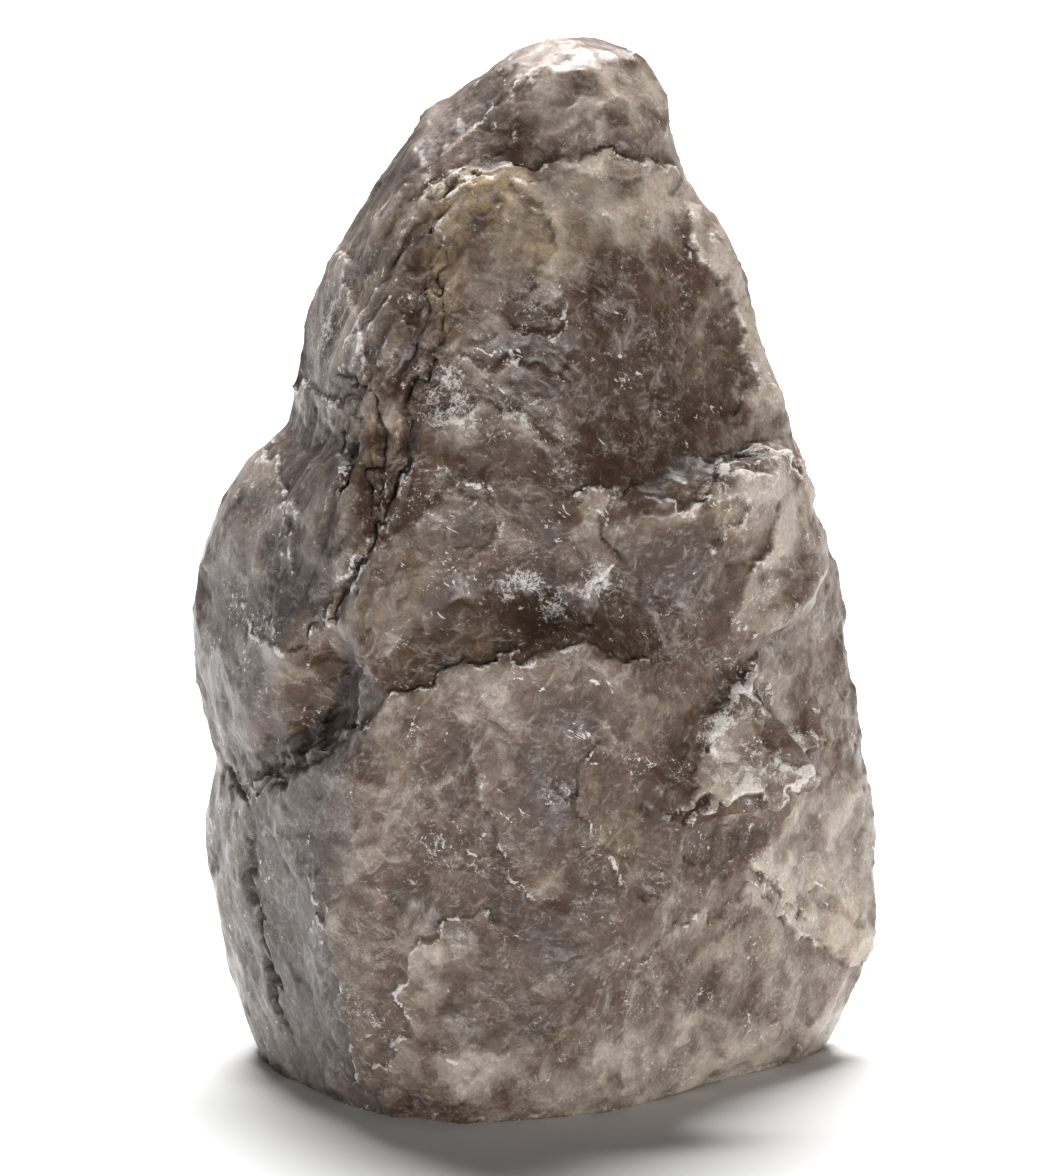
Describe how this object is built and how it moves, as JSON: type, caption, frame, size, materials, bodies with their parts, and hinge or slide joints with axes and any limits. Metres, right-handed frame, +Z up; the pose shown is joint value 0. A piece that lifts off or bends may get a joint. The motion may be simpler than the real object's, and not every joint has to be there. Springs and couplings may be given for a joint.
{
  "type": "rough smoky quartz stone",
  "caption": "Rough broken chunk of translucent smoky quartz that stands upright on a flat foot, for display or as a bookend.",
  "frame": {"origin": "on the floor, under the middle of the stone's bounding box", "axes": "+Z up through the pointed top, the front with its upright ridge faces -Y, +X to the right as seen from the front"},
  "size_m": [0.164, 0.121, 0.248],
  "materials": {
    "smoky_quartz": "translucent grey-brown quartz, glassy on fresh fractures and frosted along edges"
  },
  "bodies": {
    "root": {"smoky_quartz": "smoky_quartz"}
  },
  "joints": []
}
